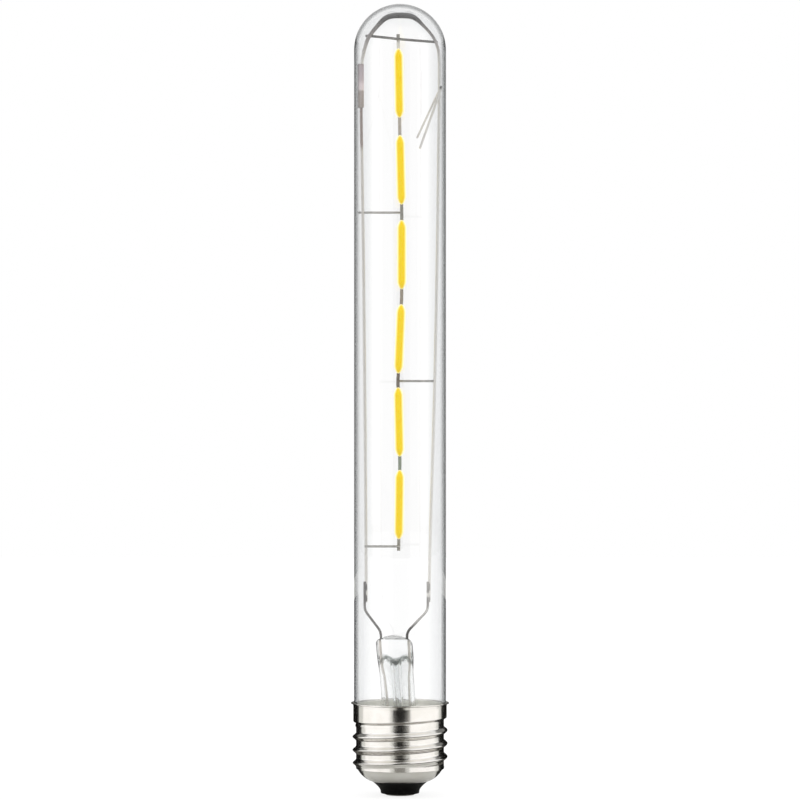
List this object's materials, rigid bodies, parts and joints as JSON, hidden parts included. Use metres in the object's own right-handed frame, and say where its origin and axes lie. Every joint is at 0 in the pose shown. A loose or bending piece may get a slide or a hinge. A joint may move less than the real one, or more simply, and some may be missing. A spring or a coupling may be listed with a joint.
{
  "type": "tubular light bulb",
  "caption": "Clear tubular filament lamp with an Edison screw cap: yellow LED filaments in a file on a wire frame inside a long round-ended glass tube.",
  "frame": {"origin": "on the lamp's axis at the foot of the cap, in the plane of the centre contact", "axes": "+Z along the axis from the cap to the round end of the glass, +X across the filament frame to the right rod, +Y through the frame to its back"},
  "size_m": [0.027, 0.027, 0.218],
  "materials": {
    "clear_glass": "clear drawn glass, thicker at the round end",
    "stem_glass": "clear pressed glass",
    "lead_wire": "dark drawn wire",
    "frame_wire": "bright nickel wire",
    "support_wire": "drawn nickel wire",
    "insulator_ceramic": "unglazed pinkish brown ceramic",
    "filament_strip": "plated metal strip",
    "phosphor_coat": "yellow phosphor in silicone",
    "nickel_plate": "bright nickel plate on rolled brass",
    "black_insulator": "black moulded insulator",
    "contact_metal": "plated button with solder",
    "cement": "cured basing cement",
    "board": "white coated circuit board",
    "moulded_package": "moulded epoxy",
    "capacitor_sleeve": "shrunk plastic sleeve",
    "resistor_coat": "green cement coat",
    "hook_up_wire": "tinned copper wire"
  },
  "bodies": {
    "root": {"glass_envelope": "clear_glass", "stem_glass": "stem_glass", "exhaust_tube": "stem_glass", "lead_wire_left": "lead_wire", "lead_wire_right": "lead_wire", "frame_rod_left": "frame_wire", "frame_hairpin": "frame_wire", "insulator_tube": "insulator_ceramic", "top_cross_wire": "support_wire", "side_wire_upper": "support_wire", "side_wire_middle": "support_wire", "side_wire_lower": "support_wire", "centring_spring": "support_wire", "filament_1_strip": "filament_strip", "filament_2_strip": "filament_strip", "filament_3_strip": "filament_strip", "filament_4_strip": "filament_strip", "filament_5_strip": "filament_strip", "filament_6_strip": "filament_strip", "filament_1_coat": "phosphor_coat", "filament_2_coat": "phosphor_coat", "filament_3_coat": "phosphor_coat", "filament_4_coat": "phosphor_coat", "filament_5_coat": "phosphor_coat", "filament_6_coat": "phosphor_coat", "cap_shell": "nickel_plate", "cap_insulator": "black_insulator", "centre_contact": "contact_metal", "basing_cement": "cement", "driver_board": "board", "bridge_rectifier": "moulded_package", "driver_chip": "moulded_package", "smoothing_capacitor": "capacitor_sleeve", "fusible_resistor": "resistor_coat", "shell_wire": "hook_up_wire", "contact_wire": "hook_up_wire"}
  },
  "joints": []
}
